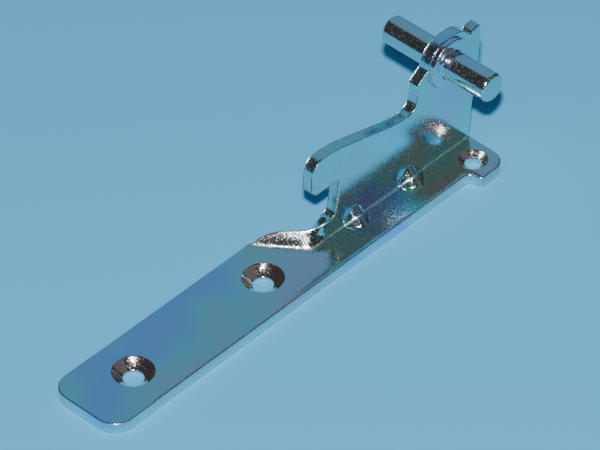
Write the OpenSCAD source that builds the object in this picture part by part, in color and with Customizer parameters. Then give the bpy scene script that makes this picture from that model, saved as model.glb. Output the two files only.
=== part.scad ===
// Hook and pin bracket of a window stay: one piece of folded sheet steel that
// screws to the sash or frame, with a round cross pin pressed through its head.
// Origin: axis of the first screw hole, at the face that lies on the timber.
// +X runs along the flange to the lug, +Y to the flange's wide side, +Z up.

/* [Sheet] */
// Thickness of the sheet, mm
sheet_t = 2.5; // [2:0.1:3]
// Width of the flange where it is full width, mm
flange_w = 17.5; // [16:0.5:20]
// Radius of the two corners at the free end, mm
end_corner_r = 4.3; // [2:0.1:6]
// Inside radius of the fold, mm
fold_r = 0.4; // [0.2:0.1:0.8]

/* [Screw holes] */
// Free end of the flange to the first screw hole, mm
end_to_hole = 13.6; // [10:0.2:18]
// First to second screw hole, mm
hole_pitch = 35; // [28:0.5:42]
// Second screw hole to the lug's screw hole, mm
lug_pitch = 52; // [50:0.5:64]
// Shank hole of the two flange screws, mm
screw_d = 4; // [3.5:0.1:4.5]
// Countersink rim of the two flange screws, mm
screw_head_d = 8.2; // [7.2:0.1:8.4]
// Shank hole of the lug's screw, mm
lug_screw_d = 3.3; // [2.8:0.1:3.6]
// Countersink rim of the lug's screw, mm
lug_head_d = 5.8; // [5:0.1:6.2]
// Full angle of all three countersinks, degrees
sink_angle = 103; // [90:1:115]

/* [Lug] */
// Radius of the lug's outer end, mm
lug_r = 4.5; // [4:0.1:5.5]
// How far the lug stands out past the flange's near edge, mm
lug_out = 2.8; // [2:0.1:4]

/* [Upright] */
// Height of the pin's axis above the timber face, mm
pin_h = 25.15; // [24:0.25:28]
// First screw hole to the pin's axis along the flange, mm
pin_x = 85.5; // [84:0.5:92]
// Height of the hook's top, mm
hook_h = 22.8; // [20:0.2:24]
// Height of the hook's underside, mm
hook_under = 14.9; // [13.5:0.1:16]
// Height of the seat below the hook, mm
seat_h = 6; // [5:0.2:7]
// Length of the hook's nose ahead of the seat's back wall, mm
hook_reach = 7.5; // [6:0.25:8.5]

/* [Stiffening darts] */
// Height and reach of each dart pressed into the fold, mm
dart_leg = 3.6; // [2.5:0.1:4]
// Half the width of a dart at the fold, mm
dart_half_w = 3.1; // [2.5:0.1:3.5]
// Distance between the two darts, mm
dart_pitch = 15.2; // [12:0.2:17]

/* [Pin] */
// Diameter of the cross pin's two free ends, mm
pin_d = 6; // [5:0.1:6.6]
// How much thicker the pin is where it sits in the upright, mm
pin_seat_step = 0.4; // [0.3:0.1:0.6]
// Length of pin in front of the upright, collar included, mm
pin_front = 11.7; // [8:0.1:16]
// Length of pin behind the upright, mm
pin_rear = 12.3; // [8:0.1:16]
// Diameter of the collar, mm
collar_d = 10.9; // [9:0.1:11.2]
// Thickness of the collar, mm
collar_t = 1.1; // [0.5:0.1:1.5]
// Bevel on both ends of the pin, mm
pin_bevel = 0.6; // [0.2:0.1:1]

/* [Hidden] */
$fn = 96;
pin_seat_d = pin_d + pin_seat_step;   // pressed into a hole of the same size
over = 1;                             // how far a cutting shape runs past a face
half_t = sheet_t / 2;
near_y = -flange_w / 2;
far_y = flange_w / 2;
end_x = -end_to_hole;
lug_x = hole_pitch + lug_pitch;
lug_hole_y = near_y + 2.2;            // the lug's screw sits close to the near edge
lug_axis = [lug_x + 0.2, near_y - lug_out + lug_r];
lug_end_x = lug_axis[0] + lug_r;
lug_neck_x = lug_end_x - 8.3;         // where the lug leaves the near edge
fold_out_r = fold_r + sheet_t - 0.1;

// Ramp: the flange's far half turns up along a slanting crease before it
// becomes the upright.
ramp_rise = 48;                       // angle of the ramp above the flange, degrees
crease_turn = -53.5;                  // direction of the crease seen from above, degrees
crease_len = 11;
ramp_x = 46.7;                        // where the crease meets the upright's front face
ramp_len = crease_len + 3;
ramp_foot = sheet_t * tan(ramp_rise / 2) + 0.2;    // flange edge under the ramp

// Head of the upright.
head_r = collar_d / 2 + 0.15;
head_run = 1.4;                       // the head's round is drawn out by this much
tab_right = pin_x + 9.4;
neck_left = pin_x - 8.5;
seat_wall = ramp_x + 7.9;
nose_left = seat_wall - hook_reach + 0.5;
dart_x = ramp_x + 12.5;

// --- flat shapes with rounded corners -------------------------------------
function unit(v) = v / norm(v);
function before(p, i) = p[(i + len(p) - 1) % len(p)];
function after(p, i) = p[(i + 1) % len(p)];
function turn(p, i) = cross(p[i] - before(p, i), after(p, i) - p[i]);

// The sliver between a corner of an outline and a round of radius r. The round
// is a hair large, so that it crosses both sides cleanly.
module corner_sliver(p, i, r) {
    a = unit(before(p, i) - p[i]);
    b = unit(after(p, i) - p[i]);
    half = acos(a * b) / 2;
    run = r / tan(half);
    mid = p[i] + unit(a + b) * r / sin(half);
    difference() {
        polygon([p[i] + (p[i] - mid) * 0.2, p[i] + a * run, p[i] + b * run]);
        translate(mid) circle(r * 1.0015);
    }
}

// A polygon, anticlockwise, with its own radius at every corner.
module rounded(p, r) {
    difference() {
        union() {
            polygon(p);
            for (i = [0 : len(p) - 1])
                if (r[i] > 0 && turn(p, i) < 0) corner_sliver(p, i, r[i]);
        }
        for (i = [0 : len(p) - 1])
            if (r[i] > 0 && turn(p, i) > 0) corner_sliver(p, i, r[i]);
    }
}

// --- bracket ---------------------------------------------------------------
// The flange seen from above, up to the crease and the upright's back.
module flange_shape() {
    n = [sin(-crease_turn), cos(crease_turn)];      // across the crease
    e = [cos(crease_turn), sin(crease_turn)];       // along the crease
    under = [ramp_x, -half_t] + n * ramp_foot;      // a point under the ramp's foot
    far_end = under + e * (far_y - under[1]) / e[1];
    back_end = under + e * (half_t - under[1]) / e[1];
    rounded(
        [
            [end_x, near_y],
            [lug_neck_x, near_y],
            [lug_neck_x + 0.7, near_y - lug_out],
            [lug_end_x, near_y - lug_out],
            [lug_end_x, half_t],
            back_end,
            far_end,
            [end_x, far_y]
        ],
        [end_corner_r, 1.4, 0.9, lug_r, 0, 0, 1, end_corner_r]
    );
}

// The upright seen from the front: X along the flange, Y up.
module upright_shape() {
    difference() {
        union() {
            rounded(
                [
                    [ramp_x - 0.6, 0.6],
                    [lug_end_x, 0.6],
                    [lug_end_x + 0.8, 10],
                    [tab_right - 0.7, 19],
                    [tab_right - 0.2, pin_h],
                    [tab_right, pin_h + 3.9],
                    [tab_right - 2.4, pin_h + 3],
                    [pin_x + head_run + 3.5, pin_h],
                    [pin_x - 3, pin_h - 0.5],
                    [pin_x - 5.2, pin_h + 1.2],
                    [neck_left, pin_h - 0.9],
                    [neck_left, 18],
                    [pin_x - 15.5, 18.6],
                    [nose_left + 15, hook_h - 2.1],
                    [nose_left + 7.5, hook_h - 0.15],
                    [nose_left, hook_h + 0.5],
                    [nose_left, hook_under],
                    [seat_wall + 0.4, hook_under],
                    [seat_wall - 0.3, seat_h + 3],
                    [seat_wall - 1, seat_h + 0.3],
                    [seat_wall - 4, seat_h - 0.4]
                ],
                [0, 0, 8, 8, 8, 0.5, 0.4, 0, 0, 0, 1, 3, 20, 25, 12, 5, 1.8, 0.8, 6, 2.6, 0]
            );
            translate([pin_x, pin_h]) circle(head_r);
            translate([pin_x + head_run, pin_h]) circle(head_r);
            translate([pin_x, pin_h - head_r]) square([head_run, 2 * head_r]);
        }
        translate([pin_x, pin_h]) circle(d = pin_seat_d);
    }
}

// The ramp's own outline: X along the crease from its far end, Y up the slope.
module ramp_shape() {
    tail = -sheet_t * tan(ramp_rise / 2);
    polygon([
        [-0.3, tail], [-0.3, 0.5], [0.2, 1.2], [1.0, 1.75], [2.2, 2.3], [3.6, 2.7], [5.5, 3.0],
        [8.3, 3.2], [9.7, 3.5], [12.2, 4.5], [ramp_len, 4.7], [ramp_len, tail]
    ]);
}

module ramp() {
    far_x = ramp_x - (crease_len - 0.4) * cos(crease_turn);
    far_end_y = -half_t - (crease_len - 0.4) * sin(crease_turn);
    intersection() {
        translate([far_x, far_end_y, sheet_t])
            rotate([0, 0, crease_turn])
                rotate([ramp_rise, 0, 0])
                    translate([0, 0, -sheet_t]) linear_extrude(sheet_t) ramp_shape();
        translate([ramp_x - 20, -half_t, 0]) cube([26, far_y + half_t, hook_under]);
    }
}

// A round dart across the fold, its crest at 45 degrees; r is its radius and
// sunk is how far its axis lies outside the fold's inner corner.
module dart_bar(x, r, sunk) {
    translate([x, -half_t + sunk * cos(45), sheet_t - sunk * sin(45)])
        rotate([-45, 0, 0]) translate([0, 0, -9]) cylinder(r = r, h = 18);
}

module darts() {
    d = dart_leg * sin(45);
    r = (dart_half_w * dart_half_w + d * d) / (2 * d);
    for (x = [dart_x, dart_x + dart_pitch])
        intersection() {
            dart_bar(x, r, r - d);
            translate([x - 6, -half_t - 8, sheet_t - 1]) cube([12, 8 + half_t, 12]);
        }
}

// The hollow each dart leaves at the back of the fold.
module dart_hollows() {
    d = dart_leg * sin(45);
    wall = sheet_t * 0.88;
    hollow_r = 2.2;
    for (x = [dart_x, dart_x + dart_pitch])
        dart_bar(x, hollow_r, hollow_r + wall - d);
}

// Small radius inside the fold.
module fold_fillet() {
    difference() {
        translate([ramp_x + 1, -half_t - fold_r, sheet_t - 0.1])
            cube([lug_end_x - ramp_x - 1, fold_r + 0.1, fold_r + 0.1]);
        translate([ramp_x, -half_t - fold_r, sheet_t + fold_r])
            rotate([0, 90, 0]) cylinder(r = fold_r, h = lug_end_x - ramp_x + over);
    }
}

// What the fold's outer radius takes off the square corner.
module fold_outside() {
    from_x = ramp_x + 3.5;
    difference() {
        translate([from_x, half_t - fold_out_r, -over])
            cube([lug_end_x - from_x + over, fold_out_r + over, fold_out_r + over]);
        translate([from_x - over, half_t - fold_out_r, fold_out_r])
            rotate([0, 90, 0]) cylinder(r = fold_out_r, h = lug_end_x - from_x + 3 * over);
    }
}

module screw_hole(x, y, d, head_d) {
    depth = (head_d - d) / 2 / tan(sink_angle / 2);
    translate([x, y, -over]) cylinder(d = d, h = sheet_t + 2 * over);
    translate([x, y, sheet_t - depth]) cylinder(d1 = d, d2 = head_d, h = depth);
    translate([x, y, sheet_t]) cylinder(d = head_d, h = 0.4);
}

module bracket() {
    color([0.72, 0.76, 0.8])
    difference() {
        union() {
            linear_extrude(sheet_t) flange_shape();
            translate([0, half_t, 0]) rotate([90, 0, 0]) linear_extrude(sheet_t) upright_shape();
            ramp();
            darts();
            fold_fillet();
        }
        fold_outside();
        dart_hollows();
        screw_hole(0, 0, screw_d, screw_head_d);
        screw_hole(hole_pitch, 0, screw_d, screw_head_d);
        screw_hole(lug_x, lug_hole_y, lug_screw_d, lug_head_d);
    }
}

// --- pin -------------------------------------------------------------------
module pivot_pin() {
    r = pin_d / 2;
    c = collar_d / 2;
    root = 0.5;                        // hollow round between collar and pin
    rim = 0.2;                         // bevel on the collar's rim
    color([0.75, 0.78, 0.82])
    translate([pin_x, 0, pin_h]) rotate([90, 0, 0])
        difference() {
            rotate_extrude() polygon([
                [0, -half_t - pin_rear],
                [r - pin_bevel, -half_t - pin_rear],
                [r, -half_t - pin_rear + pin_bevel],
                [r, -half_t],
                [pin_seat_d / 2, -half_t],
                [pin_seat_d / 2, half_t],
                [c, half_t],
                [c, half_t + collar_t - rim],
                [c - rim, half_t + collar_t],
                [r + root, half_t + collar_t],
                [r, half_t + collar_t + root],
                [r, half_t + pin_front - pin_bevel],
                [r - pin_bevel, half_t + pin_front],
                [0, half_t + pin_front]
            ]);
            rotate_extrude() translate([r + root, half_t + collar_t + root]) circle(root, $fn = 48);
        }
}

bracket();
pivot_pin();
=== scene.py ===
# %% [markdown]
# # Hook and pin bracket of a window stay
#
# The real object is a single stamping of 2.5 mm steel, folded along its length
# and zinc plated, with a round cross pin pressed through the head of its
# upright. Two pieces are made here: the stamping and the pin. Both take the
# place of their plain CAD solids and share the CAD frame: origin at the first
# screw hole, X along the flange, Z up, metres.

import math

import bmesh
import bpy
import numpy as np
from mathutils import Matrix, Vector
from mathutils.geometry import delaunay_2d_cdt
from mathutils.noise import noise as simplex


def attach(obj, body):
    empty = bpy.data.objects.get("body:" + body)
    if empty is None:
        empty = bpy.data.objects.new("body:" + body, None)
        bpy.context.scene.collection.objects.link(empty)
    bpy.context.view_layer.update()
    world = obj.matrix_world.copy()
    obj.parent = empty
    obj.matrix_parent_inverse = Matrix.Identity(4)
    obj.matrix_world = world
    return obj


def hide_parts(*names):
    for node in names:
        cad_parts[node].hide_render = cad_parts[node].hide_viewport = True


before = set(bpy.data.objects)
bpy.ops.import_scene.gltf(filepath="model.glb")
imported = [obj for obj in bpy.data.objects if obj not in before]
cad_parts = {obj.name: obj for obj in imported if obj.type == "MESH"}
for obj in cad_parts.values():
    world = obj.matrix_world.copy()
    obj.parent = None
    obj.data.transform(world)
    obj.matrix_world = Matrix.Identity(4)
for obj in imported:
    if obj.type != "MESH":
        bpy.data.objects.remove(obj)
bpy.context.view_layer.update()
MM = 0.001

# %% [markdown]
# ## The stamping as one bent plate
#
# The press cuts a flat blank and bends it. The mesh is made the same way: one
# outline drawn in the flat, filled with points, then carried into place by a
# bend map. Every point keeps three numbers: u and v in the flat, and its depth
# below the visible skin. So the cut edges, the rounded-over upper rims, the
# holes and the back all follow the bends by themselves.
#
# Sizes are in millimetres until the mesh is written.

# %% Sizes shared with the CAD part
SHEET = 2.5                       # sheet thickness
NEAR, FAR = -8.75, 8.75           # the flange's two long edges
LEFT = -13.6                      # free end
FOLD = -1.25                      # front face of the upright
CORNER = np.array([46.7, FOLD])   # where the slanting crease meets the fold
CREASE = math.radians(126.5)      # direction of the crease, from the corner
RISE = math.radians(48)           # slope of the ramp
PIN_X, PIN_Z = 85.5, 25.15        # axis of the cross pin
HEAD_R, HEAD_RUN = 5.6, 1.4       # the head's round, and how far it is drawn out
SINK_ANGLE = math.radians(103)    # full angle of the countersinks
LIFT = SHEET - FOLD               # flat v plus this is height, on the upright

# %% Bend map
# Three flat facets meet at the corner: flange, ramp and upright. The ramp's
# share of the flat blank is stretched to fit, as the press stretches it.
crease_dir = np.array([math.cos(CREASE), math.sin(CREASE)])
seam_slope = math.atan2(math.tan(RISE) * abs(crease_dir[1]), 1)
seam_dir = np.array([math.cos(seam_slope), math.sin(seam_slope)])
basis = np.linalg.inv(np.column_stack([crease_dir, seam_dir]))
SEAM_END = 7.4                    # past here hook and seat wall are all upright
BOW = 0.42                        # the press leaves the ramp slightly bowed,
BOW_MIDDLE = 5.5                  # fullest this far along the crease
BOW_CLIMB = 1.5                   # and growing from nothing over this much climb


def sharp_map(p):
    """Flat points to places in space, with knife-sharp bends."""
    w = p - CORNER
    out = np.column_stack([p[:, 0], p[:, 1], np.full(len(p), SHEET)])
    angle = np.arctan2(w[:, 1], w[:, 0])
    hook = w @ seam_dir > SEAM_END
    up = (w[:, 1] > 0) & ((angle <= seam_slope) | hook)
    out[up, 1] = FOLD
    out[up, 2] = SHEET + w[up, 1]
    ramp = (w[:, 1] > 0) & (angle > seam_slope) & (angle < CREASE) & ~hook
    along, climb = (w[ramp] @ basis.T).T
    bow = (BOW * np.clip(1 - ((along - BOW_MIDDLE) / BOW_MIDDLE) ** 2, 0, 1)
           * np.clip(climb / BOW_CLIMB, 0, 1))
    out[ramp, 0] = CORNER[0] + along * crease_dir[0] + climb * seam_dir[0]
    out[ramp, 1] = CORNER[1] + along * crease_dir[1]
    out[ramp, 2] = SHEET + climb * seam_dir[1] + bow
    return out


def softness(p):
    """Radius of each bend: tight in the fold, softer where ramp meets upright."""
    w = p - CORNER
    along = w @ seam_dir
    off = np.abs(w[:, 0] * seam_dir[1] - w[:, 1] * seam_dir[0])
    seam = (np.clip(along / 3.0, 0, 1) * np.clip(2.2 - off / 1.6, 0, 1)
            * np.clip((7.0 - along) / 2, 0, 1))
    return 0.5 + 1.9 * seam


ring = [(0.0, 0.0)]
for radius, count in ((0.34, 6), (0.67, 12), (0.95, 18)):
    for k in range(count):
        turn = 2 * math.pi * (k + 0.5 * (count % 4)) / count
        ring.append((radius * math.cos(turn), radius * math.sin(turn)))
DISC = np.array(ring)

# %% [markdown]
# ### Stiffening darts
# Two small three-sided gussets are pressed into the fold from behind, so that
# the corner can't open. Each has a crisp left flank and a softer right one.

# %% Darts
DARTS = (59.1, 74.4)              # where they sit along the fold
DART_LEG = 3.3                    # reach up the upright and out on the flange
DART_HALF = 3.0                   # half width at the fold, crisp flank
DART_FADE = 4.4                   # half width at the fold, soft flank
DART_SOFT = 0.08                  # rounding where a dart leaves the faces


def dart_push(q, x):
    """How far the skin moves out of the corner, along its 45 degree bisector."""
    push = np.zeros(len(q))
    for centre in DARTS:
        side = x - centre
        off = np.clip(np.abs(side) / np.where(side < 0, DART_HALF, DART_FADE), 0, 2)
        crisp = 1 - off ** 2
        faded = np.where(off < 1, (1 - off) ** 2 * (1 + 2 * off), 1 - off)
        lift = DART_LEG * math.sqrt(0.5) * np.where(side < 0, crisp, faded) - q
        rise = 0.5 * (lift + np.sqrt(lift ** 2 + DART_SOFT ** 2)) - 0.003
        push = np.maximum(push, np.where(off < 1.2, rise, 0))
    return np.clip(push, 0, None)


def skin(p):
    """Flat points to the visible skin, bends rounded and darts raised."""
    radius = softness(p)
    total = np.zeros((len(p), 3))
    for d in DISC:
        total += sharp_map(p + d * radius[:, None])
    out = total / len(DISC)
    near_fold = (np.abs(p[:, 1] - FOLD) < 6) & (p[:, 0] > 52) & (p[:, 0] < 82)
    s = out[near_fold]
    q = ((FOLD - s[:, 1]) + (s[:, 2] - SHEET)) * math.sqrt(0.5)
    push = dart_push(q, s[:, 0]) * math.sqrt(0.5)
    s[:, 1] -= push
    s[:, 2] += push
    out[near_fold] = s
    return out


def bend_nearness(p):
    """1 on a bend line, falling to 0 within a millimetre."""
    w = p - CORNER
    d = np.where(w[:, 0] > 0, np.abs(w[:, 1]), 99.0)
    t = np.clip(w @ crease_dir, 0, 12.5)
    d = np.minimum(d, np.linalg.norm(w - t[:, None] * crease_dir, axis=1))
    return np.exp(-(d / 0.33) ** 2)


def lumps(p):
    """The bend bruises the metal: small uneven lumps along the bend lines."""
    near = bend_nearness(p)
    out = np.zeros(len(p))
    for i in np.nonzero(near > 0.02)[0]:
        q = Vector((p[i, 0] * 1.9, p[i, 1] * 2.2, 3.0))
        out[i] = near[i] * (0.10 * simplex(q) + 0.07 * simplex(q * 2.1))
    return out


def place(p, depth):
    """Flat points and depths to places in space."""
    step = 0.1
    here = skin(p)
    du = skin(p + [step, 0]) - skin(p - [step, 0])
    dv = skin(p + [0, step]) - skin(p - [0, step])
    n = np.cross(du, dv)
    n /= np.linalg.norm(n, axis=1)[:, None]
    return here - n * np.asarray(depth)[:, None]


print("seam slope, degrees:", round(math.degrees(seam_slope), 1))

# %% [markdown]
# ### Outline of the blank
# Corner points with their own radii, anticlockwise from the free end. The head
# is two arcs and a short flat, since the press tool draws it out a little
# towards the tab. The near edge steps in by 0.15 mm a little before the first
# hole.

# %% Outline
def arc(cx, cy, r, a0, a1, n):
    return [(cx + r * math.cos(math.radians(a)), cy + r * math.sin(math.radians(a)))
            for a in np.linspace(a0, a1, n)]


def rounded(corners, spacing=0.3):
    """Dense closed outline from (x, y, radius) corners."""
    pts = []
    n = len(corners)
    for i in range(n):
        p = np.array(corners[i][:2], float)
        r = corners[i][2]
        a = np.array(corners[i - 1][:2], float) - p
        b = np.array(corners[(i + 1) % n][:2], float) - p
        la, lb = np.linalg.norm(a), np.linalg.norm(b)
        a, b = a / la, b / lb
        half = math.acos(np.clip(a @ b, -1, 1)) / 2
        if r <= 0 or half > math.radians(89.5):
            pts.append(p)
            continue
        run = min(r / math.tan(half), 0.49 * la, 0.49 * lb)
        r = run * math.tan(half)
        mid = p + (a + b) / np.linalg.norm(a + b) * r / math.sin(half)
        v0, v1 = p + a * run - mid, p + b * run - mid
        sweep = math.atan2(v0[0] * v1[1] - v0[1] * v1[0], v0 @ v1)
        steps = max(3, int(abs(sweep) * r / 0.16), int(abs(sweep) / 0.2))
        for k in range(steps + 1):
            t = sweep * k / steps
            pts.append(mid + [v0[0] * math.cos(t) - v0[1] * math.sin(t),
                              v0[0] * math.sin(t) + v0[1] * math.cos(t)])
    out = []
    for i, p in enumerate(pts):
        q = pts[(i + 1) % len(pts)]
        length = np.linalg.norm(q - p)
        if length < 1e-4:
            continue
        parts = max(1, int(round(length / spacing)))
        out += [p + (q - p) * k / parts for k in range(parts)]
    return np.array(out)


head = [(x, y - LIFT, 0) for x, y in arc(PIN_X + HEAD_RUN, PIN_Z, HEAD_R, 25, 90, 30)]
head += [(x, y - LIFT, 0) for x, y in arc(PIN_X, PIN_Z, HEAD_R, 90, 169, 34)]
corners = [
    (LEFT, NEAR, 4.3), (-2.8, NEAR, 0), (-2.65, NEAR + 0.15, 0),
    (83.4, NEAR + 0.15, 1.4), (84.1, NEAR - 2.8, 0.9), (91.7, NEAR - 2.8, 4.5),
    (91.75, -1.6, 3), (92.5, 10 - LIFT, 8), (94.2, 19 - LIFT, 8), (94.7, PIN_Z - LIFT, 8),
    (94.9, 29.05 - LIFT, 0.5), (92.5, 28.2 - LIFT, 0.4), (92.03, 27.55 - LIFT, 0.3),
    *head,
    (79.95, 26.15 - LIFT, 0.5), (77, 24.25 - LIFT, 1), (77, 18 - LIFT, 3),
    (70, 18.6 - LIFT, 20), (62.6, 20.7 - LIFT, 25), (55.1, 22.65 - LIFT, 12),
    (47.6, 23.3 - LIFT, 5), (47.6, 14.9 - LIFT, 1.8), (55.0, 14.9 - LIFT, 0.8),
    (54.3, 9 - LIFT, 6), (53.6, 6.3 - LIFT, 2.6), (50.07, 2.6, 2),
    (48.04, 3.47, 2), (47.05, 4.25, 2), (45.28, 6.27, 2), (43.98, 7.46, 2),
    (42.94, 8.13, 2), (42.0, 8.47, 1.5), (41.2, 8.45, 0.8), (40.45, 8.2, 0.6),
    (39.6, FAR, 0.9), (LEFT, FAR, 4.3),
]
outline = rounded(corners)
edge_next = np.roll(outline, -1, 0)
tangent = np.roll(outline, -1, 0) - np.roll(outline, 1, 0)
tangent /= np.linalg.norm(tangent, axis=1)[:, None]
inward = np.column_stack([-tangent[:, 1], tangent[:, 0]])
arc_len = np.concatenate([[0], np.cumsum(np.linalg.norm(edge_next - outline, axis=1))])
print("outline:", len(outline), "points,", round(arc_len[-1], 1), "mm round")


def edge_distance(p):
    """Distance of each point inside the outline to it, never mind which side."""
    best = np.full(len(p), 1e9)
    seg = edge_next - outline
    sl = (seg ** 2).sum(1)
    for k in range(0, len(p), 2000):
        q = p[k:k + 2000]
        w = q[:, None, :] - outline[None]
        t = np.clip((w * seg[None]).sum(2) / sl[None], 0, 1)
        d = w - t[..., None] * seg[None]
        best[k:k + 2000] = np.sqrt((d ** 2).sum(2)).min(1)
    return best


def inside(p):
    """True where a point is inside the outline."""
    a, b = outline, edge_next
    hit = np.zeros(len(p), int)
    for k in range(0, len(p), 4000):
        q = p[k:k + 4000]
        crosses = (a[None, :, 1] > q[:, None, 1]) != (b[None, :, 1] > q[:, None, 1])
        with np.errstate(divide="ignore", invalid="ignore"):
            x = a[None, :, 0] + (q[:, None, 1] - a[None, :, 1]) * (
                (b - a)[None, :, 0] / (b - a)[None, :, 1])
        hit[k:k + 4000] = (crosses & (x > q[:, None, 0])).sum(1)
    return hit % 2 == 1


# %% [markdown]
# ### Holes
# Two countersunk holes for 4 mm screws in the flange, a smaller one in the
# lug, and the round hole that the pin is pressed into. A countersink is a list
# of (radius, depth) steps: a rounded lip, the cone, a short land, and the flare
# where the punch broke out.

# %% Holes
def countersink(rim, bore):
    wide = rim - bore
    deep = wide / math.tan(SINK_ANGLE / 2)
    steps = [(rim + 0.16, 0.0), (rim + 0.08, 0.012), (rim + 0.02, 0.04), (rim - 0.03, 0.09)]
    for t in (0.12, 0.25, 0.4, 0.55, 0.7, 0.85, 0.95):
        # steeper near the rim, flatter towards the bore, as a pressed sink is
        steps.append((rim - wide * t, deep * (1.32 * t - 0.32 * t * t)))
    return steps + [(bore + 0.02, deep + 0.02), (bore, deep + 0.10), (bore, SHEET - 0.45),
                    (bore + 0.2, SHEET)]


HOLES = [
    ((0.0, 0.0), countersink(4.1, 2.0)),
    ((35.0, 0.0), countersink(4.1, 2.0)),
    ((87.0, -6.55), countersink(2.9, 1.65)),
    ((PIN_X, PIN_Z - LIFT), [(3.3, 0.0), (3.2, 0.1), (3.2, SHEET - 0.1), (3.25, SHEET)]),
]
ROUND = 72                        # points round each hole
TURNS = np.arange(ROUND) * 2 * math.pi / ROUND


def circle(cx, cy, r):
    return np.column_stack([cx + r * np.cos(TURNS), cy + r * np.sin(TURNS)])


def skin_radius(steps, back):
    """A hole's radius where it meets the front or the back skin."""
    return steps[-1][0] if back else steps[0][0]


# %% [markdown]
# ### Filling the blank with points
# A cutting punch drags the skin over the edge, so the upper rim is rounded off
# over about 1 mm while it only drops 0.31 mm. Rings of points follow the
# outline closely enough to carry that curve. Inside, the points are sparse on
# the flats and dense along bends and darts.

# %% Points and triangles
ROLL_RUN, ROLL_DROP = 1.0, 0.31
INSETS = [0.03, 0.09, 0.17, 0.27, 0.39, 0.52, 0.66, 0.80]
BACK_INSETS = [0.05, 0.12, 0.4, 0.8]
SLIVER = 3e-5                     # twice the area below which a triangle is empty


def roll_depth(d, p):
    """Depth of the rounded-over rim at distance d from the cut edge. The
    upright's rim is tighter, and so is the free end's, cut by another punch."""
    upright = np.clip((p[:, 1] - FOLD) / 2, 0, 1) * np.clip((p[:, 0] - 38) / 2, 0, 1)
    tight = np.maximum(upright, 0.5 * np.clip((-2.7 - p[:, 0]) / 0.2, 0, 1))
    t = np.clip(1 - d / (ROLL_RUN * (1 - 0.55 * tight)), 0, 1)
    return ROLL_DROP * (1 - 0.65 * tight) * (1 - np.sqrt(1 - t ** 2))


def grid(x0, x1, y0, y1, step):
    xs = np.arange(x0, x1, step)
    ys = np.arange(y0, y1, step * 0.866)
    pts = [(x + (0.5 * step if j % 2 else 0), y) for j, y in enumerate(ys) for x in xs]
    return np.array(pts)


def fold_gap(p):
    """Distance of flat points to the nearest bend line."""
    w = p - CORNER
    main = np.where(w[:, 0] > -0.5, np.abs(w[:, 1]), 99)
    def ray(d, reach):
        t = np.clip(w @ d, 0, reach)
        return np.linalg.norm(w - t[:, None] * d, axis=1)
    return main, ray(crease_dir, 13), ray(seam_dir, 7)


def fill_points(back):
    coarse = grid(LEFT, 96, NEAR - 3, 27, 0.95)
    main, crease, seam = fold_gap(coarse)
    coarse = coarse[(main > 1.3) & (crease > 1.3) & (seam > 2.2)]
    fine = grid(38, 95, -12, 12, 0.26)
    main, crease, seam = fold_gap(fine)
    fine = fine[(main <= 1.25) | (crease <= 1.25) | (seam <= 2.1)]
    sets = [coarse, fine]
    if not back:
        for c in DARTS:
            patch = grid(c - 4.2, c + 4.2, FOLD - 5, FOLD + 5, 0.17)
            sets[0] = sets[0][np.abs(sets[0] - [c, FOLD]).max(1) > 4.3]
            sets[1] = sets[1][np.abs(sets[1] - [c, FOLD]).max(1) > 4.3]
            sets.append(patch)
    pts = np.vstack(sets)
    pts = pts[inside(pts)]
    pts = pts[edge_distance(pts) > INSETS[-1] + 0.12]
    return pts


def triangulate(back):
    """Points of one skin, its triangles, and where its hole rims start."""
    rings = []
    for inset in BACK_INSETS if back else INSETS:
        ring_pts = outline + inward * inset
        ok = edge_distance(ring_pts) > inset * 0.97
        rings.append(ring_pts[ok])
    pts = [outline]
    edges = [(i, (i + 1) % len(outline)) for i in range(len(outline))]
    start = len(outline)
    rims = []
    for (cx, cy), steps in HOLES:
        pts.append(circle(cx, cy, skin_radius(steps, back)))
        edges += [(start + i, start + (i + 1) % ROUND) for i in range(ROUND)]
        rims.append(start)
        start += ROUND
    rest = np.vstack(rings + [fill_points(back)])
    for (cx, cy), steps in HOLES:
        r = skin_radius(steps, back)
        rest = rest[np.hypot(rest[:, 0] - cx, rest[:, 1] - cy) > r + 0.25]
    pts.append(rest)
    flat = np.vstack(pts)
    vs, _, fs, _, _, _ = delaunay_2d_cdt(
        [Vector(p) for p in flat], edges, [], 0, 1e-7)
    vs = np.array([tuple(v) for v in vs])
    tri = np.array([f for f in fs if len(f) == 3])
    mid = vs[tri].mean(1)
    keep = inside(mid)
    for (cx, cy), steps in HOLES:
        r = skin_radius(steps, back)
        keep &= np.hypot(mid[:, 0] - cx, mid[:, 1] - cy) > r * 0.999
    # three rim points in line on a straight cut make an empty sliver: dropped
    ab, ac = vs[tri[:, 1]] - vs[tri[:, 0]], vs[tri[:, 2]] - vs[tri[:, 0]]
    doubled_area = np.abs(ab[:, 0] * ac[:, 1] - ab[:, 1] * ac[:, 0])
    keep &= (doubled_area > SLIVER) | (tri.max(1) >= len(outline))
    return vs, tri[keep], rims


front_uv, front_tri, front_rims = triangulate(False)
back_uv, back_tri, back_rims = triangulate(True)
print("front skin:", len(front_tri), "triangles; back skin:", len(back_tri))

# %% [markdown]
# ### Cut edges
# A sheared edge isn't one smooth wall. Below the rounded rim comes a burnished
# band, then the torn band where the sheet broke through, a little set back,
# and a faint burr at the far side. The wall is a stack of loops with these
# offsets, and it keeps its length and depth as coordinates for the streaks.

# %% Wall loops
WALL = [(0.0, ROLL_DROP), (0.0, 0.45), (0.0, 0.8), (0.0, 1.2), (0.0, 1.5), (0.02, 1.7),
        (0.035, 1.95), (0.05, 2.2), (0.06, 2.36), (0.09, SHEET - 0.05)]

verts, faces, kinds, coords = [], [], [], []


def add_points(p, depth, kind_coords):
    base = sum(len(v) for v in verts)
    verts.append(place(np.asarray(p, float), np.asarray(depth, float)))
    coords.append(kind_coords)
    return base


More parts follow.
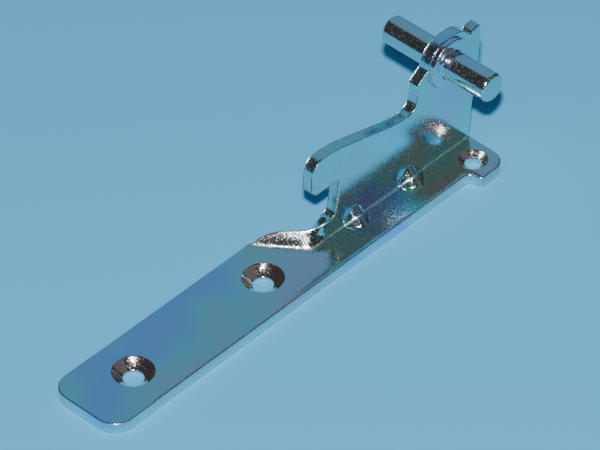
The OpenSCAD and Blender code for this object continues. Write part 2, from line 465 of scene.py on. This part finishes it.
front_d = edge_distance(front_uv)
front_d[:len(outline)] = 0
front_roll = roll_depth(front_d, front_uv)
front_base = add_points(front_uv, front_roll - lumps(front_uv),
                        np.column_stack([front_d, front_roll]))
faces += [tuple(front_base + i for i in t) for t in front_tri]
kinds += [0] * len(front_tri)

back_d = edge_distance(back_uv)
back_d[:len(outline)] = 0
back_depth = SHEET - 0.05 * np.clip(1 - back_d / 0.1, 0, 1)
back_base = add_points(back_uv, back_depth, np.column_stack([back_d, back_depth]))
faces += [tuple(back_base + i for i in t[::-1]) for t in back_tri]
kinds += [0] * len(back_tri)

n = len(outline)
loops = [front_base]
for set_back, depth in WALL[1:-1]:
    loops.append(add_points(outline + inward * set_back, np.full(n, depth),
                            np.column_stack([arc_len[:-1], np.full(n, depth)])))
loops.append(back_base)
for upper, lower in zip(loops, loops[1:]):
    for i in range(n):
        j = (i + 1) % n
        faces.append((upper + j, upper + i, lower + i, lower + j))
        kinds.append(1)

for k, ((cx, cy), steps) in enumerate(HOLES):
    loops = [front_base + front_rims[k]]
    for r, depth in steps[1:-1]:
        depths = np.full(ROUND, depth)
        loops.append(add_points(circle(cx, cy, r), depths,
                                np.column_stack([TURNS * r, depths])))
    loops.append(back_base + back_rims[k])
    for upper, lower in zip(loops, loops[1:]):
        for i in range(ROUND):
            j = (i + 1) % ROUND
            faces.append((upper + i, upper + j, lower + j, lower + i))
            kinds.append(2)

verts = np.vstack(verts) * MM
coords = np.vstack(coords)
bends = np.zeros(len(verts))
bends[:len(front_uv)] = bend_nearness(front_uv)
print("stamping:", len(verts), "vertices,", len(faces), "faces")

# %% [markdown]
# ### Writing the mesh
# Face smoothing is broken only where two faces meet at a real edge.

# %% Mesh of the stamping
def mark_sharp(mesh, degrees):
    bm = bmesh.new()
    bm.from_mesh(mesh)
    bm.normal_update()
    for e in bm.edges:
        e.smooth = len(e.link_faces) == 2 and e.calc_face_angle(0) < math.radians(degrees)
    open_edges = sum(len(e.link_faces) != 2 for e in bm.edges)
    volume = bm.calc_volume(signed=True)
    bm.to_mesh(mesh)
    bm.free()
    return open_edges, volume


mesh = bpy.data.meshes.new("stamping")
mesh.from_pydata(verts.tolist(), [], faces)
mesh.polygons.foreach_set("material_index", kinds)
mesh.polygons.foreach_set("use_smooth", [True] * len(faces))
layer = mesh.attributes.new("cut", "FLOAT_VECTOR", "POINT")
layer.data.foreach_set("vector", np.column_stack([coords, bends]).ravel())
mesh.update()
open_edges, volume = mark_sharp(mesh, 42)
stamping = bpy.data.objects.new("stamping", mesh)
bpy.context.scene.collection.objects.link(stamping)
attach(stamping, "root")
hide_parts("bracket")
print("open edges:", open_edges, "volume, mm3:", round(volume / MM ** 3, 1))

# %% [markdown]
# ## The cross pin
# The pin is turned from bar: two plain ends with small bevels, a collar that
# stops it against the upright, and a hollow round where collar and pin meet.
# A turned piece is its half-profile swept round an axis, so a node group does
# the sweeping and can turn any other profile too.

# %% Turning group
def turning_group():
    g = bpy.data.node_groups.new("turned piece", "GeometryNodeTree")
    g.interface.new_socket("Profile", in_out="INPUT", socket_type="NodeSocketGeometry")
    seg = g.interface.new_socket("Segments", in_out="INPUT", socket_type="NodeSocketInt")
    seg.default_value = 96
    core = g.interface.new_socket("Core radius", in_out="INPUT", socket_type="NodeSocketFloat")
    core.default_value = 0.003
    g.interface.new_socket("Finish", in_out="INPUT", socket_type="NodeSocketMaterial")
    g.interface.new_socket("Piece", in_out="OUTPUT", socket_type="NodeSocketGeometry")
    new, link = g.nodes.new, g.links.new
    source, out = new("NodeGroupInput"), new("NodeGroupOutput")
    to_curve = new("GeometryNodeMeshToCurve")
    path = new("GeometryNodeCurvePrimitiveCircle")
    sweep = new("GeometryNodeCurveToMesh")
    weld = new("GeometryNodeMergeByDistance")
    weld.inputs["Distance"].default_value = 2e-6
    real = new("GeometryNodeRealizeInstances")
    paint = new("GeometryNodeSetMaterial")
    link(source.outputs["Profile"], to_curve.inputs["Mesh"])
    link(source.outputs["Segments"], path.inputs["Resolution"])
    link(source.outputs["Core radius"], path.inputs["Radius"])
    link(path.outputs["Curve"], sweep.inputs["Curve"])
    link(to_curve.outputs["Curve"], sweep.inputs["Profile Curve"])
    link(sweep.outputs["Mesh"], weld.inputs["Geometry"])
    link(weld.outputs["Geometry"], real.inputs["Geometry"])
    link(real.outputs["Geometry"], paint.inputs["Geometry"])
    link(source.outputs["Finish"], paint.inputs["Material"])
    link(paint.outputs["Geometry"], out.inputs["Piece"])
    return g


def turned(name, profile, core, material, segments=128):
    """A plain mesh turned from (radius, place along the axis) steps, in mm."""
    line = bpy.data.meshes.new(name + " profile")
    # the sweep lays the profile's height along -Z, so heights go in negative
    pts = [((r - core) * MM, -a * MM, 0) for r, a in profile]
    line.from_pydata(pts, [(i, i + 1) for i in range(len(pts) - 1)], [])
    tool = bpy.data.objects.new(name + " tool", line)
    bpy.context.scene.collection.objects.link(tool)
    mod = tool.modifiers.new("turn", "NODES")
    mod.node_group = turning_group()
    values = {"Segments": segments, "Core radius": core * MM, "Finish": material}
    for item in mod.node_group.interface.items_tree:
        if item.in_out == "INPUT" and item.name in values:
            mod[item.identifier] = values[item.name]
    graph = bpy.context.evaluated_depsgraph_get()
    made = bpy.data.meshes.new_from_object(tool.evaluated_get(graph))
    bpy.data.objects.remove(tool)
    return made


def round_end(r, end, towards, reach=0.75):
    """Steps of a rounded end, from the flat end face to the pin's side."""
    out = []
    for t in np.linspace(0, math.pi / 2, 9):
        out.append((r - reach * 0.85 * (1 - math.sin(t)),
                    end + towards * reach * (1 - math.cos(t))))
    return out


# %% [markdown]
# ## Finishes
# Bright zinc with a clear blue passivate: almost a mirror, but the plating
# grows as fine grains over the rolled steel, so dark reflections sparkle and
# bright ones get soft borders. The passivate film changes tint slowly from
# blue to green and violet.

# %% Shader groups
def shader_group(name, inputs, outputs):
    g = bpy.data.node_groups.new(name, "ShaderNodeTree")
    for label, kind, value in inputs:
        s = g.interface.new_socket(label, in_out="INPUT", socket_type=kind)
        if value is not None:
            s.default_value = value
    for label, kind in outputs:
        g.interface.new_socket(label, in_out="OUTPUT", socket_type=kind)
    return g, g.nodes.new("NodeGroupInput"), g.nodes.new("NodeGroupOutput")


FLOAT, COLOUR, VECTOR = "NodeSocketFloat", "NodeSocketColor", "NodeSocketVector"


def math_node(g, how, a, b=None):
    node = g.nodes.new("ShaderNodeMath")
    node.operation = how
    for socket, value in zip(node.inputs, (a, b)):
        if isinstance(value, (int, float)):
            socket.default_value = value
        elif value is not None:
            g.links.new(value, socket)
    return node.outputs[0]


def noise(g, vector, scale, detail=2.0, rough=0.5):
    node = g.nodes.new("ShaderNodeTexNoise")
    node.inputs["Scale"].default_value = scale
    node.inputs["Detail"].default_value = detail
    node.inputs["Roughness"].default_value = rough
    g.links.new(vector, node.inputs["Vector"])
    return node.outputs["Fac"]


def plating_grain():
    """Height of the plated skin, and a mask of its brighter specks."""
    g, source, out = shader_group(
        "plating grain",
        [("Place", VECTOR, None), ("Grain", FLOAT, 1.0), ("Waves", FLOAT, 1.0)],
        [("Height", FLOAT), ("Specks", FLOAT)])
    place_in = source.outputs["Place"]
    fine = noise(g, place_in, 3600, 2.0, 0.6)
    mid = noise(g, place_in, 1500, 1.0, 0.5)
    wide = noise(g, place_in, 90, 1.0, 0.4)
    grain = math_node(g, "ADD", fine, math_node(g, "MULTIPLY", mid, 0.8))
    grain = math_node(g, "MULTIPLY", grain, source.outputs["Grain"])
    waves = math_node(g, "MULTIPLY", wide, source.outputs["Waves"])
    g.links.new(math_node(g, "ADD", grain, math_node(g, "MULTIPLY", waves, 6.0)),
                out.inputs["Height"])
    coarse = noise(g, place_in, 3000, 2.0, 0.6)
    specks = math_node(g, "MULTIPLY", math_node(g, "SUBTRACT", coarse, 0.51), 5.0)
    clamp = g.nodes.new("ShaderNodeClamp")
    g.links.new(specks, clamp.inputs["Value"])
    g.links.new(clamp.outputs[0], out.inputs["Specks"])
    return g


def passivate_tint():
    """Slow drift of the film's colour: blue, green, violet, a trace of yellow."""
    g, source, out = shader_group(
        "passivate tint",
        [("Place", VECTOR, None), ("Amount", FLOAT, 1.0), ("Bare", COLOUR, None)],
        [("Colour", COLOUR)])
    drift = noise(g, source.outputs["Place"], 38, 2.0, 0.55)
    ramp = g.nodes.new("ShaderNodeValToRGB")
    stops = [(0.32, (0.58, 0.60, 0.84, 1)), (0.42, (0.42, 0.62, 0.88, 1)),
             (0.51, (0.42, 0.78, 0.78, 1)), (0.59, (0.56, 0.74, 0.68, 1)),
             (0.70, (0.70, 0.66, 0.72, 1))]
    while len(ramp.color_ramp.elements) < len(stops):
        ramp.color_ramp.elements.new(0.5)
    for element, (at, colour) in zip(ramp.color_ramp.elements, stops):
        element.position = at
        element.color = colour
    g.links.new(drift, ramp.inputs["Fac"])
    mix = g.nodes.new("ShaderNodeMix")
    mix.data_type = "RGBA"
    g.links.new(source.outputs["Bare"], mix.inputs["A"])
    g.links.new(source.outputs["Amount"], mix.inputs["Factor"])
    g.links.new(ramp.outputs["Color"], mix.inputs["B"])
    # grain by grain the film is a little thicker or thinner, which shows as
    # brown and violet specks where the metal mirrors something dark
    speck = g.nodes.new("ShaderNodeMix")
    speck.data_type = "RGBA"
    speck.inputs["B"].default_value = (0.86, 0.62, 0.60, 1)
    fine = noise(g, source.outputs["Place"], 2300, 2.0, 0.6)
    fine = math_node(g, "MULTIPLY", math_node(g, "SUBTRACT", fine, 0.5), 5.0)
    clamp = g.nodes.new("ShaderNodeClamp")
    g.links.new(fine, clamp.inputs["Value"])
    g.links.new(math_node(g, "MULTIPLY", clamp.outputs[0], 0.5), speck.inputs["Factor"])
    g.links.new(mix.outputs["Result"], speck.inputs["A"])
    g.links.new(speck.outputs["Result"], out.inputs["Colour"])
    return g


def sheared_height():
    """Streaks of the punch in the burnished band, torn grain below it."""
    g, source, out = shader_group(
        "sheared height",
        [("Cut", VECTOR, None), ("Place", VECTOR, None)],
        [("Height", FLOAT), ("Torn", FLOAT)])
    split = g.nodes.new("ShaderNodeSeparateXYZ")
    g.links.new(source.outputs["Cut"], split.inputs[0])
    join = g.nodes.new("ShaderNodeCombineXYZ")
    g.links.new(math_node(g, "MULTIPLY", split.outputs["X"], 5.0), join.inputs["X"])
    g.links.new(math_node(g, "MULTIPLY", split.outputs["Y"], 0.45), join.inputs["Y"])
    streaks = noise(g, join.outputs[0], 1.0, 2.0, 0.6)
    torn = noise(g, source.outputs["Place"], 2600, 3.0, 0.65)
    edge = g.nodes.new("ShaderNodeMapRange")
    edge.inputs["From Min"].default_value = 1.5
    edge.inputs["From Max"].default_value = 1.8
    g.links.new(split.outputs["Y"], edge.inputs["Value"])
    mask = edge.outputs["Result"]
    strength = math_node(g, "ADD", math_node(g, "MULTIPLY", mask, 0.8), 0.6)
    rough = math_node(g, "MULTIPLY", torn, strength)
    g.links.new(math_node(g, "ADD", streaks, rough), out.inputs["Height"])
    g.links.new(mask, out.inputs["Torn"])
    return g


GRAIN, TINT, SHEARED = plating_grain(), passivate_tint(), sheared_height()


def use(tree, group):
    node = tree.nodes.new("ShaderNodeGroup")
    node.node_tree = group
    return node


# %% Materials
def zinc(name, rough, grain, waves, bump, speck, tint=1.0,
         bare=(0.70, 0.70, 0.72), cut=False, bruise=False):
    m = bpy.data.materials.new(name)
    m.use_nodes = True
    t = m.node_tree
    surface = t.nodes["Principled BSDF"]
    surface.inputs["Metallic"].default_value = 1.0
    where = t.nodes.new("ShaderNodeTexCoord").outputs["Object"]
    grains, film = use(t, GRAIN), use(t, TINT)
    for node in (grains, film):
        t.links.new(where, node.inputs["Place"])
    grains.inputs["Grain"].default_value = grain
    grains.inputs["Waves"].default_value = waves
    film.inputs["Amount"].default_value = tint
    film.inputs["Bare"].default_value = (*bare, 1)
    t.links.new(film.outputs["Colour"], surface.inputs["Base Color"])
    height = grains.outputs["Height"]
    spread = math_node(t, "MULTIPLY", grains.outputs["Specks"], speck)
    roughness = math_node(t, "ADD", spread, rough)
    if cut:
        attr = t.nodes.new("ShaderNodeAttribute")
        attr.attribute_name = "cut"
        shear = use(t, SHEARED)
        t.links.new(attr.outputs["Vector"], shear.inputs["Cut"])
        t.links.new(where, shear.inputs["Place"])
        streaks = math_node(t, "MULTIPLY", shear.outputs["Height"], 0.6)
        height = math_node(t, "ADD", height, streaks)
        torn = math_node(t, "MULTIPLY", shear.outputs["Torn"], 0.12)
        roughness = math_node(t, "ADD", roughness, torn)
    if bruise:
        attr = t.nodes.new("ShaderNodeAttribute")
        attr.attribute_name = "cut"
        split = t.nodes.new("ShaderNodeSeparateXYZ")
        t.links.new(attr.outputs["Vector"], split.inputs[0])
        rim = t.nodes.new("ShaderNodeMapRange")
        rim.inputs["From Min"].default_value = 0.6
        rim.inputs["From Max"].default_value = 0.1
        t.links.new(split.outputs["X"], rim.inputs["Value"])
        faint = math_node(t, "MULTIPLY", rim.outputs["Result"], 0.4)
        either = math_node(t, "MAXIMUM", split.outputs["Z"], faint)
        worn = math_node(t, "MULTIPLY", either, noise(t, where, 1900, 2.0, 0.6))
        roughness = math_node(t, "ADD", roughness, math_node(t, "MULTIPLY", worn, 0.55))
        height = math_node(t, "ADD", height, math_node(t, "MULTIPLY", worn, 2.0))
    t.links.new(roughness, surface.inputs["Roughness"])
    relief = t.nodes.new("ShaderNodeBump")
    relief.inputs["Strength"].default_value = 1.0
    relief.inputs["Distance"].default_value = bump
    t.links.new(height, relief.inputs["Height"])
    t.links.new(relief.outputs["Normal"], surface.inputs["Normal"])
    return m


rolled = zinc("zinc, rolled face", 0.10, 1.0, 0.4, 1.4e-5, 0.24, bruise=True)
sheared = zinc("zinc, sheared edge", 0.13, 1.2, 0.2, 1.2e-5, 0.34, cut=True)
bored = zinc("zinc, countersink", 0.10, 1.0, 0.0, 1.3e-5, 0.28, tint=0.25,
             bare=(0.80, 0.66, 0.64))
turned_zinc = zinc("zinc, turned pin", 0.11, 1.0, 0.1, 0.35e-5, 0.36, tint=0.6,
                   bare=(0.76, 0.68, 0.68))
for material in (rolled, sheared, bored):
    stamping.data.materials.append(material)

# %% Mesh of the pin
R, C = 3.0, 5.45                  # radius of the pin, and of its collar
REAR, FRONT = -13.55, 12.95       # its two ends, from the middle of the sheet
profile = [(0, REAR), (2.3, REAR), *round_end(R, REAR, 1), (3.0, -1.3), (3.0, -1.25),
           (3.2, -1.25), (3.2, 1.25), (5.4, 1.25), (C, 1.32), (C, 2.05), (5.42, 2.2),
           (5.34, 2.3), (5.22, 2.35), (3.62, 2.35)]
profile += [(3.5 - 0.5 * math.sin(a), 2.85 - 0.5 * math.cos(a))
            for a in np.linspace(0.1, math.pi / 2, 8)]
profile += [(3.0, 3.0), *round_end(R, FRONT, -1)[::-1], (2.3, FRONT), (0, FRONT)]
pin_mesh = turned("cross pin", profile, R, turned_zinc)
co = np.empty(len(pin_mesh.vertices) * 3)
pin_mesh.vertices.foreach_get("co", co)
co = co.reshape(-1, 3)
print("pin sweep box, mm:", (co.min(0) / MM).round(2), (co.max(0) / MM).round(2))
along = Vector((PIN_X * MM, 0, PIN_Z * MM))
pin_mesh.transform(Matrix.Translation(along) @ Matrix.Rotation(math.radians(90), 4, "X"))
pin_mesh.polygons.foreach_set("use_smooth", [True] * len(pin_mesh.polygons))
open_edges, volume = mark_sharp(pin_mesh, 30)
if volume < 0:
    pin_mesh.flip_normals()
cross_pin = bpy.data.objects.new("cross_pin", pin_mesh)
bpy.context.scene.collection.objects.link(cross_pin)
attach(cross_pin, "root")
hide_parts("pivot_pin")
print("pin: open edges", open_edges, "volume, mm3:", round(abs(volume) / MM ** 3, 1))

# %% [markdown]
# ## Setting
# A plain blue floor, a small hard main light just above the viewer with a weak
# soft one in the same direction, a broad cool panel opposite that the flat tops
# mirror, a dim panel to one side, and a dim room.

# %% Floor
floor_mesh = bpy.data.meshes.new("floor")
HALF = 3.0
floor_mesh.from_pydata([(-HALF, -HALF, 0), (HALF, -HALF, 0), (HALF, HALF, 0),
                        (-HALF, HALF, 0)], [], [(0, 1, 2, 3)])
floor = bpy.data.objects.new("floor", floor_mesh)
bpy.context.scene.collection.objects.link(floor)
pale = bpy.data.materials.new("pale floor")
pale.use_nodes = True
board = pale.node_tree.nodes["Principled BSDF"]
board.inputs["Base Color"].default_value = (0.09, 0.46, 0.80, 1)
board.inputs["Roughness"].default_value = 0.75
board.inputs["Specular IOR Level"].default_value = 0.2
floor_mesh.materials.append(pale)

# %% Camera
DISTANCE = 1.131648               # metres from the aim point
SENSOR = 36                       # mm
azimuth, elevation, roll = (math.radians(x) for x in (-45.921, 41.996, -1.025))
aim = Vector((52.546, 6.995, 0)) * MM
side = Vector((math.cos(azimuth), math.sin(azimuth), 0))
back = Vector((math.sin(azimuth) * math.cos(elevation),
               -math.cos(azimuth) * math.cos(elevation), math.sin(elevation)))
up = back.cross(side)
right = side * math.cos(roll) + up * math.sin(roll)
top = up * math.cos(roll) - side * math.sin(roll)
camera = bpy.data.objects.new("camera", bpy.data.cameras.new("camera"))
bpy.context.scene.collection.objects.link(camera)
camera.matrix_world = Matrix((
    (right.x, top.x, back.x, aim.x + back.x * DISTANCE),
    (right.y, top.y, back.y, aim.y + back.y * DISTANCE),
    (right.z, top.z, back.z, aim.z + back.z * DISTANCE),
    (0, 0, 0, 1)))
camera.data.sensor_width = SENSOR
camera.data.lens = SENSOR * 5898.262 / 600
camera.data.clip_start = 0.05
bpy.context.scene.camera = camera


# %% Lights
def panel(name, azimuth, elevation, distance, size, watts, colour,
          shape="DISK", tall=None):
    """A light that faces the part from the given direction and distance."""
    a, e = math.radians(azimuth), math.radians(elevation)
    away = Vector((math.sin(a) * math.cos(e), -math.cos(a) * math.cos(e), math.sin(e)))
    lamp = bpy.data.lights.new(name, "AREA")
    lamp.shape = shape
    lamp.size = size
    lamp.size_y = tall or size
    lamp.energy = watts
    lamp.color = colour
    o = bpy.data.objects.new(name, lamp)
    bpy.context.scene.collection.objects.link(o)
    centre = Vector((0.045, 0, 0.01))
    o.matrix_world = (Matrix.Translation(centre + away * distance)
                      @ away.to_track_quat("Z", "Y").to_matrix().to_4x4())


panel("main light", -45.9, 47.0, 1.1, 0.04, 17.0, (1.0, 0.98, 0.96))
panel("soft box", -45.9, 45.0, 1.2, 0.16, 1.0, (1.0, 0.98, 0.95))
panel("cool panel", 134, 37, 1.2, 1.2, 2.8, (0.20, 0.60, 1.0), "RECTANGLE", tall=1.6)
panel("dim panel", 43, 37, 1.3, 1.1, 0.4, (0.95, 0.95, 0.95), "SQUARE")

world = bpy.data.worlds.new("room")
bpy.context.scene.world = world
world.use_nodes = True
world.node_tree.nodes["Background"].inputs["Color"].default_value = (0.62, 0.58, 0.66, 1)
world.node_tree.nodes["Background"].inputs["Strength"].default_value = 0.07
